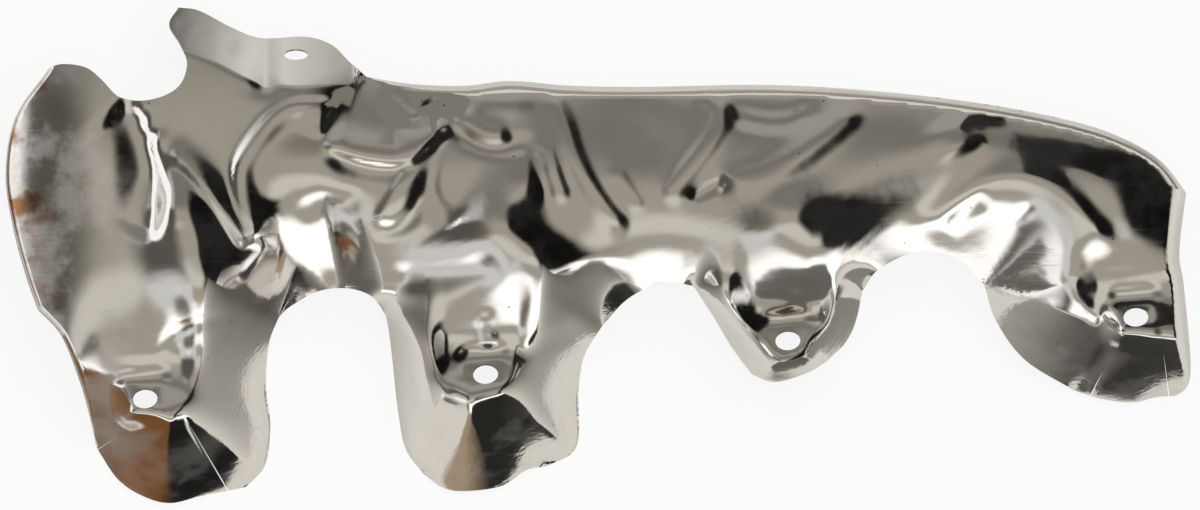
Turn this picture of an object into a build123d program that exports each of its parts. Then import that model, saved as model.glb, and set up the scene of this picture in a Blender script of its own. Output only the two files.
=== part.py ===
from build123d import *
import os
from typing import NamedTuple

import numpy as np
from scipy.spatial import Delaunay

# Exhaust heat shield: one sheet of thin bright steel, drawn over a former into a long open shell.
# X runs along the shield, Y up its front from the bolt lobes to the top wall, Z out of the open side
# through the front face. The shield lies on its rim, face up, with the floor at Z = 0.

# Sheet and face, millimetres and degrees
sheet_thickness = 0.5
face_height = 61.0
face_crown_y = 12.0
face_fall_up = 0.0022
face_fall_along = 0.00006
face_middle_x = 20.0
left_roll_x = -163.0
left_roll_fall = 0.0088
right_roll_x = 172.0
right_roll_fall = 0.01

# Bolt holes and the seats round them
bolt_hole_diameter = 8.5
tab_hole_diameter = 8.2
seat_height = 51.0
seat_tilt = 40.0
seat_bend = 9.0
seat_rise_above_hole = 7.5
seat_flat_length = 15.0
seat_flat_height = 9.0
seat_flat_bend = 4.0
bulge_slope = 34.0
seat_reach = 11.0
seat_fade = 10.0
tab_slope = 64.0
tab_root_height = 57.0
tab_root_bend = 6.0
relief_slit_width = 1.4

# The facets that the sheet is folded from
fold_pitch = 4.6
edge_pitch = 6.0
face_pitch = 7.6
corner_gap = 1.8
outline_steps = 3
skirt_reach = 4.0
floor_trim = 1.0
WALL_STEPS = [-4, 0.6, 2.6, 5, 8.5]


class Rim(NamedTuple):
    """A stretch of the sheet's edge, as points (x, y, z), and the wall drawn down to it."""

    points: list
    wall_slope: float
    wall_bend: float
    shoulder_height: float = 1000.0
    shoulder_slope: float = 0.0
    shoulder_bend: float = 1.0


# The edge, clockwise as seen from the front, starting at the right foot of the tab
TOP_WALL = Rim(
    [(-79, 60.8, 44), (-70, 59.2, 24), (-60, 58.2, 8), (-45, 58, 0), (-30, 59.6, 0), (-10, 58, 0), (15, 57.6, 0),
     (60, 58.2, 0), (100, 55.6, 0), (135, 51.2, 0), (163, 45.5, 0), (180, 39.5, 0), (192, 32, 0), (200.3, 21.5, 0)],
    87, 5, 48, 35, 12)
RIGHT_WALL = Rim(
    [(200.3, 21.5, 0), (198, 1, 0), (199.5, -10, 0), (201.8, -35, 0), (201, -44, 0), (197, -47.8, 2)],
    85, 7)
LOBE_4_FOOT = Rim([(197, -47.8, 2), (190, -48.3, 6), (182, -50, 8), (172, -49, 8), (162, -46, 8)], 70, 10)
LOBE_4_LEFT = Rim([(162, -46, 8), (145, -35.5, 16), (135, -22, 22), (131, -10, 36)], 54, 14, 36, 32, 14)
ARCH_3 = Rim([(131, -10, 46), (121, -0.5, 53), (108, 1.3, 54.5), (95, -4.5, 53), (89.5, -12, 47)], 26, 6)
LOBE_3_RIGHT = Rim([(89.5, -12, 30), (87.5, -22, 20), (84, -29.5, 20), (77.5, -36, 24)], 74, 8)
LOBE_3_FOOT = Rim([(77.5, -36, 24), (71, -39.8, 28), (60, -43, 28), (52, -40.5, 24)], 78, 7)
LOBE_3_LEFT = Rim([(52, -40.5, 24), (45, -31, 22), (39, -21, 34), (32, -10.3, 47)], 74, 8)
ARCH_2 = Rim([(32, -10.3, 53), (22, -9, 54), (10, -14.5, 53), (1, -24, 47)], 26, 6)
LOBE_2_RIGHT = Rim(
    [(1, -24, 26), (-5, -34, 12), (-7, -46, 0), (-7, -62, 0), (-10, -68, 0), (-18.5, -72, 2)], 69, 11)
LOBE_2_FOOT = Rim(
    [(-18.5, -72, 2), (-25, -73.2, 6), (-33, -78.5, 6), (-45, -80.3, 6), (-53, -79.3, 5), (-60, -74.5, 4)], 62, 11)
LOBE_2_LEFT = Rim(
    [(-60, -74.5, 4), (-66, -66, 0), (-68.5, -54, 0), (-70.3, -38, 0), (-71.5, -27, 10), (-72.5, -20.5, 26)],
    77, 10)
ARCH_1 = Rim(
    [(-72.5, -20.5, 44), (-77, -14, 48), (-85, -11.2, 50), (-95, -12, 50), (-105, -17.3, 49), (-109, -21, 45)],
    26, 6)
LOBE_1_RIGHT = Rim(
    [(-109, -21, 28), (-112.5, -30, 14), (-113.7, -44, 0), (-112.2, -58, 0), (-114, -71.5, 0), (-120.5, -79, 4)],
    69, 11)
LOBE_1_FOOT = Rim(
    [(-120.5, -79, 4), (-135, -81.8, 6), (-146, -84.4, 6), (-155, -82.3, 6), (-164, -76.5, 5), (-171.5, -65.5, 4)], 62, 11)
LOBE_1_LEFT = Rim([(-171.5, -65.5, 4), (-173.5, -56, 4), (-177, -43, 12), (-183, -27.5, 20), (-191, -18.5, 24)],
                  87, 4)
LEFT_END = Rim(
    [(-191, -18.5, 24), (-195, -7, 26), (-199.5, 10, 26), (-201.9, 28, 26), (-198.5, 47, 28), (-187, 63.5, 36)],
    87, 4)
RIMS = [TOP_WALL, RIGHT_WALL, LOBE_4_FOOT, LOBE_4_LEFT, ARCH_3, LOBE_3_RIGHT, LOBE_3_FOOT, LOBE_3_LEFT, ARCH_2,
        LOBE_2_RIGHT, LOBE_2_FOOT, LOBE_2_LEFT, ARCH_1, LOBE_1_RIGHT, LOBE_1_FOOT, LOBE_1_LEFT, LEFT_END]

# Edges that are cut with no wall: the round notch beside the tab, and the tab's own edge
NOTCH = [LEFT_END.points[-1][:2], (-182, 65), (-174, 63.8), (-168.5, 59.5), (-163, 54), (-156, 52.5), (-148, 54), (-142, 58),
         (-139.7, 65), (-142, 71.5), (-146, 78.5), (-143, 84.4)]
TAB_EDGE = [NOTCH[-1], (-136, 83.3), (-125, 77.6), (-115, 74), (-100, 74.5), (-91, 71.7), (-85, 66),
            TOP_WALL.points[0][:2]]

# The fold along which the tab leans back, and the slant of the row of bolt holes
TAB_FOLD = [(-150, 71), (-140, 69), (-130, 65.5), (-113, 57), (-108, 58), (-78, 58)]
TAB_FOLD_END = -84.0
TAB_FOLD_FADE = 14.0
HOLE_ROW_SLANT = 4.7

# Bolt holes, one to a lobe, and the middles of the arches between the lobes
LOBE_HOLES = [(-154, -48.5), (-38.5, -40.2), (64, -28.8), (182, -20.8)]
ARCH_MIDDLES = [-92, 15, 108]
TAB_HOLE = (-103, 68.3)

# Relief slits, from their tip in the sheet to their mouth past the edge
SLITS = [((-160.5, -59.5), (-174, -68)), ((-141, -54), (-125, -83)),
         ((173, -36), (166.5, -50)), ((191.5, -33), (195, -51))]


class Crease(NamedTuple):
    """A fold along a line: how high it stands, how far it spreads to its left and right, how its ends fade."""

    line: list
    height: float
    left: float
    right: float
    power: float = 2.0
    fade: float = 0.25


class Dent(NamedTuple):
    """A rounded swelling, or a hollow where the height is below zero."""

    x: float
    y: float
    height: float
    length: float
    width: float
    turn: float = 0.0


FORMS = [
    # Dishes over the arches
    Crease([(-120, -8), (-108, -9), (-92, -9), (-74, -4)], -10, 21, 12, 2, 0.35),
    Dent(19, -12, -5, 17, 13),
    Dent(108, -2, -5, 15, 13),
    # Flanks of the runners beside the arches
    Crease([(-122, -26), (-129, -16), (-136, -4), (-139, 8), (-142, 20), (-148, 32)], 6.5, 14, 10, 2, 0.35),
    Crease([(-10, -16), (-18, -7), (-28, 3), (-34, 10), (-38, 18), (-45, 26)], 6, 14, 9, 2, 0.4),
    Crease([(88, -12), (80, -2), (70, 5), (64, 11), (60, 19), (57, 30)], 6.5, 16, 13, 2, 0.4),
    # Long valley beside the notch, with small facets
    Crease([(-164, 54), (-158, 46.5), (-154, 36), (-152.5, 22), (-152.5, 12), (-156, 3)], -2.2, 4.6, 10, 1.6, 0.15),
    Crease([(-152, 42), (-147, 31), (-144, 22), (-146, 8)], 1.0, 5, 2.6),
    Dent(-156, 50, 0.9, 3.4, 2.2),
    Dent(-153, 44.5, 0.9, 3.4, 2.2, 60),
    Dent(-149.5, 38.5, 0.9, 4, 2.4, 60),
    # Two beads that meet in a sharp turn
    Crease([(-147, 34.5), (-140, 31.5), (-130, 20), (-122, 8), (-118, 2)], 1.2, 5, 1.9, 2, 0.15),
    Crease([(-117, 2), (-116, 9), (-121, 20), (-121.5, 31), (-113, 44), (-101, 51.5)], 1.3, 1.9, 5, 2, 0.13),
    # Short ledge and notch under the tab
    Crease([(-109, 50), (-97, 51.5), (-85, 51.5)], 1.9, 9, 3.2, 2, 0.2),
    Crease([(-96, 39), (-94.5, 45), (-95, 50)], 1.2, 5, 2.2, 2, 0.35),
    # Dome between the beads
    Dent(-100, 30, 3, 17, 11),
    Crease([(-103, 12), (-95, 18), (-87, 18), (-78, 20)], -0.8, 3, 3),
    # Tube that runs on from the notch
    Crease([(-94, 41), (-87, 36.5), (-74, 33.5), (-66, 33.5), (-58, 40), (-51, 46)], 2.0, 6, 3.0, 2, 0.12),
    Crease([(-93, 37), (-84, 30.5), (-73, 28.5), (-64, 31), (-57, 38)], -0.9, 2.4, 3, 2, 0.2),
    # Tab
    Crease([(-144, 81), (-136, 75), (-121, 70)], -2.2, 2.4, 3, 2, 0.2),
    Crease([(-143, 85), (-136, 76)], 1, 2, 2),
    Dent(-87.5, 66.5, -0.8, 4, 2),
    Dent(-109, 72, -0.6, 8, 1.6),
    Dent(-113, 57, -1.6, 5, 3),
    # Bent valley under the top roll
    Crease([(-74, 58), (-67, 48.5), (-62, 46.5), (-55, 51.5), (-42, 52.5)], -1.5, 2.6, 2.6, 1.6),
    # Finger that runs down from the tube, and the groove beside it
    Crease([(-52, 45.5), (-60, 35), (-68, 22), (-76, 9)], 1.7, 5, 2.4, 2, 0.15),
    Crease([(-78, 8.5), (-69, 9.5), (-63, 14), (-59, 22)], -0.8, 2.2, 2.2),
    Crease([(-51.5, 45), (-56, 32), (-57, 22), (-52, 14), (-43, 14.5)], -1.4, 2.4, 4, 2),
    # Crescent and dome below the top roll
    Crease([(-49, 51), (-44, 44), (-37, 40.5), (-29, 42)], 1.3, 4, 3),
    Crease([(-51, 46), (-44, 39.5), (-34, 36.5), (-19, 39)], -1.2, 3, 2.5),
    Dent(-33, 52, 2.0, 12, 6),
    # Sharp ridge across the middle and the ridge beside it
    Crease([(-17, 58), (-12, 46), (-9, 36), (-4, 25), (4, 13.5), (11, 8)], 2.3, 3.4, 3.4, 1.8, 0.12),
    Crease([(-19, 41), (-16, 30), (-11, 16)], 1.4, 3, 2.6),
    Crease([(-21, 39), (-20, 28), (-17, 16)], -1.2, 2.6, 2.6),
    Dent(-25, 23, 2.0, 7, 7),
    Crease([(4, 31), (9, 23), (15, 14)], 0.8, 2.2, 2.2),
    # Hollow below the middle, over the second lobe
    Crease([(-74, -8), (-58, -7), (-45, -5), (-31, -1)], -1.5, 4.5, 4.5),
    # Second lobe
    Crease([(-80, -8), (-70, -18), (-64, -28), (-61, -35)], 0.9, 3, 3),
    Crease([(-67, -34), (-61, -40), (-55, -47)], 0.7, 2, 2),
    Dent(-50, -32, 1.3, 4.5, 4.5),
    Crease([(-39.5, -18), (-38, -26), (-36.5, -34)], 0.9, 2.4, 2.4),
    Crease([(-31, -37), (-20, -30.5), (-12, -26.5), (-6, -21)], -1.3, 2.8, 2.8),
    # First lobe
    Crease([(-149, -37), (-146, -28), (-137, -23), (-124, -20)], -0.6, 1.8, 1.8),
    Dent(-136, -33, -1.0, 7, 9),
    # Hollow and fingers right of the middle
    Dent(14, 40, -2.2, 18, 11, -35),
    Crease([(31, 56), (39, 52), (41, 46), (36, 37), (28, 26.5), (22, 17)], 1.9, 3.4, 3.0, 2, 0.12),
    Crease([(89, 52.5), (79, 43), (66, 33), (53, 26.5), (39, 24)], 2.2, 4.5, 4, 2, 0.15),
    Crease([(41, 50), (52, 46), (64, 45.5), (77, 51.5)], -1.2, 3, 3),
    Crease([(30, 18.5), (37, 22.5), (44, 26)], -0.9, 1.8, 1.8),
    # Third lobe
    Crease([(32, -8), (44, -10), (49.5, -16), (50, -25), (58, -38)], 0.9, 2.6, 2.6),
    Crease([(41, -16), (47, -26), (54, -36)], 0.7, 2.2, 2.2),
    Crease([(94, -1), (84, -13), (75, -34)], 1.1, 3, 3),
    # Plain end
    Crease([(125, 33), (121, 41), (117, 48)], 1.6, 8, 6, 2, 0.35),
    Crease([(106, 4), (118, 14), (130, 22.5), (142, 25.5), (154, 21), (166, 9), (173, -2)], 3.0, 5, 13, 2, 0.15),
    Crease([(117, 8), (125, 15.5), (133, 21)], -1.0, 2, 3),
    Crease([(139, 10), (149, 18)], -0.6, 2, 2, 2, 0.4),
    # Fourth lobe
    Crease([(166, -7), (165, -13), (174, -20)], -0.7, 1.8, 1.8),
    Dent(162, -7.5, -0.6, 3.2, 2.2),
    Crease([(174, -29), (170, -37), (163, -47)], -1.4, 2.2, 2.2),
    Crease([(151, -16), (159, -19.5), (166, -22.5)], 0.6, 1.5, 1.5),
]


def tangent(degrees):
    return np.tan(np.radians(degrees))


def ease(share):
    share = np.clip(share, 0, 1)
    return share * share * (3 - 2 * share)


def smooth_min(a, b, bend):
    """The lower of two heights, with the corner between them rounded over a height of bend."""
    overlap = np.maximum(bend - np.abs(a - b), 0)
    return np.minimum(a, b) - overlap * overlap / (4 * bend)


def smooth_max(a, b, bend):
    return -smooth_min(-a, -b, bend)


def curve_through(points, steps):
    """Points along a smooth curve through the given ones, with so many steps between each two."""
    p = np.array(points, float)
    ends = np.vstack([2 * p[0] - p[1], p, 2 * p[-1] - p[-2]])
    t = np.linspace(0, 1, steps, endpoint=False)[:, None]
    spans = []
    for before, start, end, after in zip(ends, ends[1:], ends[2:], ends[3:]):
        bow = 2 * before - 5 * start + 4 * end - after
        swing = 3 * start - before - 3 * end + after
        spans.append(start + 0.5 * ((end - before) * t + bow * t**2 + swing * t**3))
    return np.vstack(spans + [p[-1:]])


def distance_to(curve, x, y):
    """How far each point lies from a curve."""
    nearest = np.full(x.shape, np.inf)
    for (ax, ay), (bx, by) in zip(curve[:-1], curve[1:]):
        run_x, run_y = bx - ax, by - ay
        share = ((x - ax) * run_x + (y - ay) * run_y) / (run_x**2 + run_y**2)
        share = np.clip(share, 0, 1)
        nearest = np.minimum(nearest, (x - ax - share * run_x) ** 2 + (y - ay - share * run_y) ** 2)
    return np.sqrt(nearest)


def edge_height_near(curve, x, y):
    """The height of a rim at the stretch that lies nearest to each point."""
    total = np.zeros(x.shape)
    weights = np.zeros(x.shape)
    for px, py, pz in curve:
        weight = 1 / ((x - px) ** 2 + (y - py) ** 2 + 1) ** 2
        total += weight * pz
        weights += weight
    return total / weights


def outline_points(steps):
    runs = [[point[:2] for point in rim.points] for rim in RIMS] + [NOTCH, TAB_EDGE]
    return [curve_through(run, steps) for run in runs]


def inside_outline(x, y):
    corners = np.vstack(outline_points(6))
    within = np.zeros(x.shape, bool)
    for (ax, ay), (bx, by) in zip(corners, np.roll(corners, -1, axis=0)):
        if ay != by:
            crossing = (ay > y) != (by > y)
            within ^= crossing & (x < (bx - ax) * (y - ay) / (by - ay) + ax)
    return within


def face_with_tab(x, y):
    """The crowned front face, leaning back above the fold of the tab."""
    face = face_height - face_fall_up * (y - face_crown_y) ** 2 - face_fall_along * (x - face_middle_x) ** 2
    face -= left_roll_fall * np.maximum(left_roll_x - x, 0) ** 2
    face -= right_roll_fall * np.maximum(x - right_roll_x, 0) ** 2
    fold_x, fold_y = zip(*TAB_FOLD)
    tab = tab_root_height - tangent(tab_slope) * (y - np.interp(x, fold_x, fold_y))
    tab += 2 * face_height * ease((x - TAB_FOLD_END) / TAB_FOLD_FADE)
    return smooth_min(face, tab, tab_root_bend)


def place_on_seat(x, y):
    """Where each point lies along and up the seat of its lobe, from the bolt hole."""
    slant = np.radians(HOLE_ROW_SLANT)
    lobe = np.searchsorted(ARCH_MIDDLES, x)
    hole_x, hole_y = np.array(LOBE_HOLES).T
    right, up = x - hole_x[lobe], y - hole_y[lobe]
    return right * np.cos(slant) + up * np.sin(slant), up * np.cos(slant) - right * np.sin(slant)


def with_seats(height, x, y):
    """The face drops under each runner's bulge to a bolt seat that leans back."""
    along, up = place_on_seat(x, y)
    seat = seat_height - tangent(seat_tilt) * up
    foot_of_bulge = seat_height - tangent(seat_tilt) * seat_rise_above_hole
    bulge = foot_of_bulge + tangent(bulge_slope) * (up - seat_rise_above_hole)
    seated = smooth_max(smooth_min(height, bulge, seat_bend), seat, seat_bend)
    return seated + (height - seated) * ease((np.abs(along) - seat_reach) / seat_fade)


def flat_round_holes(height, x, y):
    """Each seat is quite flat for a little way round its hole."""
    along, up = place_on_seat(x, y)
    seat = seat_height - tangent(seat_tilt) * up
    past_end = np.maximum(np.abs(along) - seat_flat_length / 2, 0)
    past_side = np.maximum(np.abs(up) - seat_flat_height / 2, 0)
    return seat + (height - seat) * ease(np.hypot(past_end, past_side) / seat_flat_bend)


def offset_and_share(line, x, y):
    """How far each point lies to the left of a line, and how far along the line its nearest place is."""
    steps = np.diff(line, axis=0)
    lengths = np.hypot(*steps.T)
    starts = np.concatenate([[0], np.cumsum(lengths)[:-1]])
    nearest = np.full(x.shape, np.inf)
    offset = np.zeros(x.shape)
    share = np.zeros(x.shape)
    for (ax, ay), (sx, sy), length, start in zip(line, steps, lengths, starts):
        along = np.clip(((x - ax) * sx + (y - ay) * sy) / length**2, 0, 1)
        gap = np.hypot(x - ax - along * sx, y - ay - along * sy)
        closer = gap < nearest
        nearest = np.where(closer, gap, nearest)
        side = np.where(sx * (y - ay) - sy * (x - ax) < 0, -1, 1)
        offset = np.where(closer, side * gap, offset)
        share = np.where(closer, (start + along * length) / lengths.sum(), share)
    return offset, share


def dent_rise(dent, x, y):
    turn = np.radians(dent.turn)
    u = (x - dent.x) * np.cos(turn) + (y - dent.y) * np.sin(turn)
    v = (y - dent.y) * np.cos(turn) - (x - dent.x) * np.sin(turn)
    return dent.height * np.exp(-((u / dent.length) ** 2) - (v / dent.width) ** 2)


def crease_rise(crease, x, y):
    offset, share = offset_and_share(curve_through(crease.line, 5), x, y)
    spread = np.where(offset > 0, crease.left, crease.right)
    rounded = np.sqrt(offset**2 + 0.36) - 0.6
    ends = ease(share / crease.fade) * ease((1 - share) / crease.fade)
    return crease.height * ends * np.exp(-((rounded / spread) ** crease.power))


def folded(height, x, y):
    """The sheet with its folds and dents, which leave the tab flat round its hole."""
    rise = np.zeros(x.shape)
    for form in FORMS:
        rise += dent_rise(form, x, y) if isinstance(form, Dent) else crease_rise(form, x, y)
    clear = np.hypot(x - TAB_HOLE[0], y - TAB_HOLE[1]) - tab_hole_diameter / 2
    return height + rise * ease(clear / tab_root_bend - 0.5)


def sheet_height(x, y):
    """Height of the sheet's front over each point, levelling off a little way outside its edge."""
    height = with_seats(face_with_tab(x, y), x, y)
    gaps = [distance_to(curve, x, y) for curve in outline_points(6)]
    beyond = np.where(inside_outline(x, y), 0, np.min(gaps, axis=0))
    overhang = skirt_reach * (1 - np.exp(-beyond / skirt_reach))
    for rim, gap in zip(RIMS, gaps):
        inwards = gap - beyond - overhang
        shoulder = rim.shoulder_height + tangent(rim.shoulder_slope) * inwards
        height = smooth_min(height, shoulder, rim.shoulder_bend)
        foot = edge_height_near(curve_through(rim.points, 10), x, y) - floor_trim
        wall = foot + tangent(rim.wall_slope) * inwards
        height = smooth_min(height, wall, rim.wall_bend)
    return flat_round_holes(folded(height, x, y), x, y)


def spaced(line, pitch):
    """Points at an even pitch along a line."""
    places = np.concatenate([[0], np.cumsum(np.hypot(*np.diff(line, axis=0).T))])
    wanted = np.linspace(0, places[-1], max(round(places[-1] / pitch), 1) + 1)
    return np.column_stack([np.interp(wanted, places, column) for column in line.T])


def beside(line, gap):
    """A line moved sideways to its left."""
    run = np.gradient(line, axis=0)
    run /= np.hypot(*run.T)[:, None]
    return line + gap * np.column_stack([-run[:, 1], run[:, 0]])


def corners_round_hole(x, y, length, height, slant):
    slant = np.radians(slant)
    along, up = np.meshgrid(np.linspace(-length / 2, length / 2, 4), [-height / 2, height / 2])
    return np.column_stack([x + along.ravel() * np.cos(slant) - up.ravel() * np.sin(slant),
                            y + along.ravel() * np.sin(slant) + up.ravel() * np.cos(slant)])


def facet_corners():
    """The facets' corners, seen from the front: round the holes, along the edge and the folds, and even between."""
    groups = [(corners_round_hole(x, y, seat_flat_length, seat_flat_height, HOLE_ROW_SLANT), 0) for x, y in LOBE_HOLES]
    groups.append((corners_round_hole(*TAB_HOLE, 2 * tab_hole_diameter, tab_root_bend, 0), 0))
    edge = np.vstack([curve[:-1] for curve in outline_points(6)])
    edge = np.vstack([edge, edge[:1]])
    for step in WALL_STEPS:
        ring = beside(spaced(edge, edge_pitch), -step)
        groups.append((ring[distance_to(edge, *ring.T) > 0.9 * abs(step)], corner_gap))
    inside = []
    for form in FORMS:
        if isinstance(form, Crease):
            line = spaced(curve_through(form.line, 5), fold_pitch)
            inside += [(line, corner_gap)]
            inside += [(beside(line, 1.3 * max(form.left, corner_gap)), corner_gap)]
            inside += [(beside(line, -1.3 * max(form.right, corner_gap)), corner_gap)]
    low, high = edge.min(axis=0), edge.max(axis=0)
    x, y = np.meshgrid(np.arange(low[0], high[0], face_pitch), np.arange(low[1], high[1], 0.87 * face_pitch))
    x[::2] += face_pitch / 2
    inside += [(np.column_stack([x.ravel(), y.ravel()]), 0.65 * face_pitch)]
    groups += [(points[inside_outline(*points.T)], gap) for points, gap in inside]
    kept = np.empty((0, 2))
    for points, gap in groups:
        for point in points:
            if not len(kept) or np.hypot(*(kept - point).T).min() > gap:
                kept = np.vstack([kept, point])
    return kept


def facet(*corners):
    return Face(Wire.make_polygon(corners, close=True))


def drawn_sheet():
    """The whole drawn and folded sheet, before it is trimmed, as flat facets."""
    corners = facet_corners()
    x, y = corners.T
    z = sheet_height(x, y)
    nudge = 0.05
    rise_x = (sheet_height(x + nudge, y) - sheet_height(x - nudge, y)) / (2 * nudge)
    rise_y = (sheet_height(x, y + nudge) - sheet_height(x, y - nudge)) / (2 * nudge)
    depth = sheet_thickness * np.sqrt(1 + rise_x**2 + rise_y**2)
    front = [Vector(*point) for point in zip(x, y, z)]
    back = [Vector(*point) for point in zip(x, y, z - depth)]
    mesh = Delaunay(corners)
    faces = [facet(*[side[i] for i in triangle]) for triangle in mesh.simplices for side in (front, back)]
    faces += [facet(front[i], front[j], back[j], back[i]) for i, j in mesh.convex_hull]
    return Solid(Shell(faces))


def blank():
    """The outline of the sheet, carried straight up from the floor."""
    corners = np.vstack([curve[:-1] for curve in outline_points(outline_steps)])
    return extrude(facet(*[Vector(*corner) for corner in corners]), 2 * face_height, dir=(0, 0, 1))


def bolt_hole(x, y, z, axis, diameter):
    reach = 2 * sheet_thickness
    return Plane(origin=(x, y, z), z_dir=axis) * Cylinder(diameter / 2, 2 * reach)


def seat_axis():
    slant, tilt = np.radians(HOLE_ROW_SLANT), np.radians(seat_tilt)
    return (-np.sin(slant) * np.sin(tilt), np.cos(slant) * np.sin(tilt), np.cos(tilt))


def tab_hole():
    x, y = TAB_HOLE
    tilt = np.radians(tab_slope)
    fold_x, fold_y = zip(*TAB_FOLD)
    z = tab_root_height - tangent(tab_slope) * (y - np.interp(x, fold_x, fold_y))
    return bolt_hole(x, y, z, (0, np.sin(tilt), np.cos(tilt)), tab_hole_diameter)


def relief_slit(tip, mouth):
    tip, mouth = Vector(*tip), Vector(*mouth)
    sideways = (mouth - tip).normalized().rotate(Axis.Z, 90) * (relief_slit_width / 2)
    cut = Wire.make_polygon([tip, mouth + sideways, mouth - sideways])
    return extrude(Face(cut), 2 * face_height, dir=(0, 0, 1))


heat_shield = drawn_sheet() & blank()
for x, y in LOBE_HOLES:
    heat_shield -= bolt_hole(x, y, seat_height, seat_axis(), bolt_hole_diameter)
heat_shield -= tab_hole()
for tip, mouth in SLITS:
    heat_shield -= relief_slit(tip, mouth)

os.makedirs("parts", exist_ok=True)
export_step(heat_shield, "parts/heat_shield.step")
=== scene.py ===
"""Looks of the exhaust heat shield: one sheet of bright steel, drawn to shape and then creased by hand.

All sizes are in millimetres in the shield's own frame. They become metres where a mesh or a pattern is made.
"""

import math
from typing import NamedTuple

import bpy
import numpy as np
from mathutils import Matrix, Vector
from mathutils.geometry import delaunay_2d_cdt


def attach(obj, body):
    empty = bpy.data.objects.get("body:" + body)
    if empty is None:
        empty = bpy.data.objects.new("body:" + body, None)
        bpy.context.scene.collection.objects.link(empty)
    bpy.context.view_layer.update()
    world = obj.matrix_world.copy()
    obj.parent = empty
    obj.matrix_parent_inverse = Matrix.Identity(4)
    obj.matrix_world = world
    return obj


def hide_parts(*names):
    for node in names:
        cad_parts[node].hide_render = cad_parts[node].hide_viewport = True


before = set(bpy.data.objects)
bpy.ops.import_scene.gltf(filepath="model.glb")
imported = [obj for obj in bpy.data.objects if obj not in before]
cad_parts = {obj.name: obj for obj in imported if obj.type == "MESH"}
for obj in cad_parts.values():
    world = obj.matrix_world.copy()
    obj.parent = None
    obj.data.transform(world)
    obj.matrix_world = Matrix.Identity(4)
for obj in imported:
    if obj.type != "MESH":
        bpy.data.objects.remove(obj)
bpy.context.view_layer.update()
MM = 0.001

# Sheet and face: crowned, and rolled down at both ends
sheet_thickness = 0.5
face_height = 61.0
face_crown_y = 12.0
face_fall_up = 0.0022
face_fall_along = 0.00006
face_middle_x = 20.0
left_roll_x = -163.0
left_roll_fall = 0.0088
right_roll_x = 172.0
right_roll_fall = 0.01

# Bolt holes and their seats, which bend a little more softly here than in the part's source
bolt_hole_diameter = 8.5
seat_height = 51.0
seat_tilt = 40.0
seat_bend = 13.0
seat_rise_above_hole = 7.5
seat_flat_length = 8.0
seat_flat_height = 6.0
seat_flat_bend = 9.0
bulge_slope = 34.0
seat_reach = 11.0
seat_fade = 14.0

# Tab
tab_hole_diameter = 8.2
tab_slope = 64.0
tab_root_height = 57.0
tab_root_bend = 6.0
tab_flat_margin = 3.0

# Edge: width of the slits, how far the form runs on past the edge, how far the walls reach below their feet,
# and how softly a wall's foot follows its rim
relief_slit_width = 0.4
skirt_reach = 4.0
floor_trim = 1.0
edge_softness = 1.0

# Rounding along the top of a crease
crease_tip = 0.6

# Steps between two points of a curve
form_steps = 6
cut_steps = 8
foot_steps = 10
crease_steps = 5

# The sheet as a fine mesh: its grid, the least gap between points, and the rows that follow the cut edge,
# where a point in a tight corner goes if it keeps less than this share of its depth
mesh_pitch = 1.3
row_pitch = 0.866 * mesh_pitch
least_gap = 0.45 * mesh_pitch
edge_pitch = 1.0
edge_rows = [0.5, 1.1, 1.8, 2.7]
depth_kept = 0.9
hole_corners = 48
plan_tolerance = 1e-5

# Floor, lamp and camera
floor_reach = 4000.0
lamp_place = (300.0, 400.0, 2600.0)
lamp_diameter = 2000.0
lamp_watts = 60.0
view_width = 408.0
view_middle = (0.3, 0.2, 30.0)
camera_distance = 8000.0
sensor_width = 36.0


class Rim(NamedTuple):
    """A stretch of the sheet's edge, as points (x, y, z), and the wall drawn down to it."""

    points: list
    wall_slope: float
    wall_bend: float
    shoulder_height: float = 1000.0
    shoulder_slope: float = 0.0
    shoulder_bend: float = 1.0


# The edge, clockwise as seen from the front, starting at the right foot of the tab
TOP_WALL = Rim(
    [(-79, 60.8, 44), (-70, 59.2, 24), (-60, 58.2, 8), (-45, 58, 0), (-30, 59.6, 0), (-10, 58, 0),
     (15, 57.6, 0), (60, 58.2, 0), (100, 55.6, 0), (135, 51.2, 0), (163, 45.5, 0), (180, 39.5, 0),
     (192, 32, 0), (200.3, 21.5, 0)],
    87, 5, 48, 35, 12)
RIGHT_WALL = Rim(
    [(200.3, 21.5, 0), (198, 1, 0), (199.5, -10, 0), (201.8, -35, 0), (201, -44, 0), (197, -47.8, 2)],
    85, 7)
LOBE_4_FOOT = Rim(
    [(197, -47.8, 2), (190, -48.3, 6), (182, -50, 8), (172, -49, 8), (162, -46, 8)],
    70, 10)
LOBE_4_LEFT = Rim(
    [(162, -46, 8), (145, -35.5, 16), (135, -22, 22), (131, -10, 36)],
    54, 14, 36, 32, 14)
ARCH_3 = Rim(
    [(131, -10, 46), (121, -0.5, 53), (108, 1.3, 54.5), (95, -4.5, 53), (89.5, -12, 47)],
    26, 6)
LOBE_3_RIGHT = Rim(
    [(89.5, -12, 30), (87.5, -22, 20), (84, -29.5, 20), (77.5, -36, 24)],
    74, 8)
LOBE_3_FOOT = Rim(
    [(77.5, -36, 24), (71, -39.8, 28), (60, -43, 28), (52, -40.5, 24)],
    78, 7)
LOBE_3_LEFT = Rim(
    [(52, -40.5, 24), (45, -31, 22), (39, -21, 34), (32, -10.3, 47)],
    74, 8)
ARCH_2 = Rim(
    [(32, -10.3, 53), (22, -9, 54), (10, -14.5, 53), (1, -24, 47)],
    26, 6)
LOBE_2_RIGHT = Rim(
    [(1, -24, 26), (-5, -34, 12), (-7, -46, 0), (-7, -62, 0), (-10, -68, 0), (-18.5, -72, 2)],
    69, 22)
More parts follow.
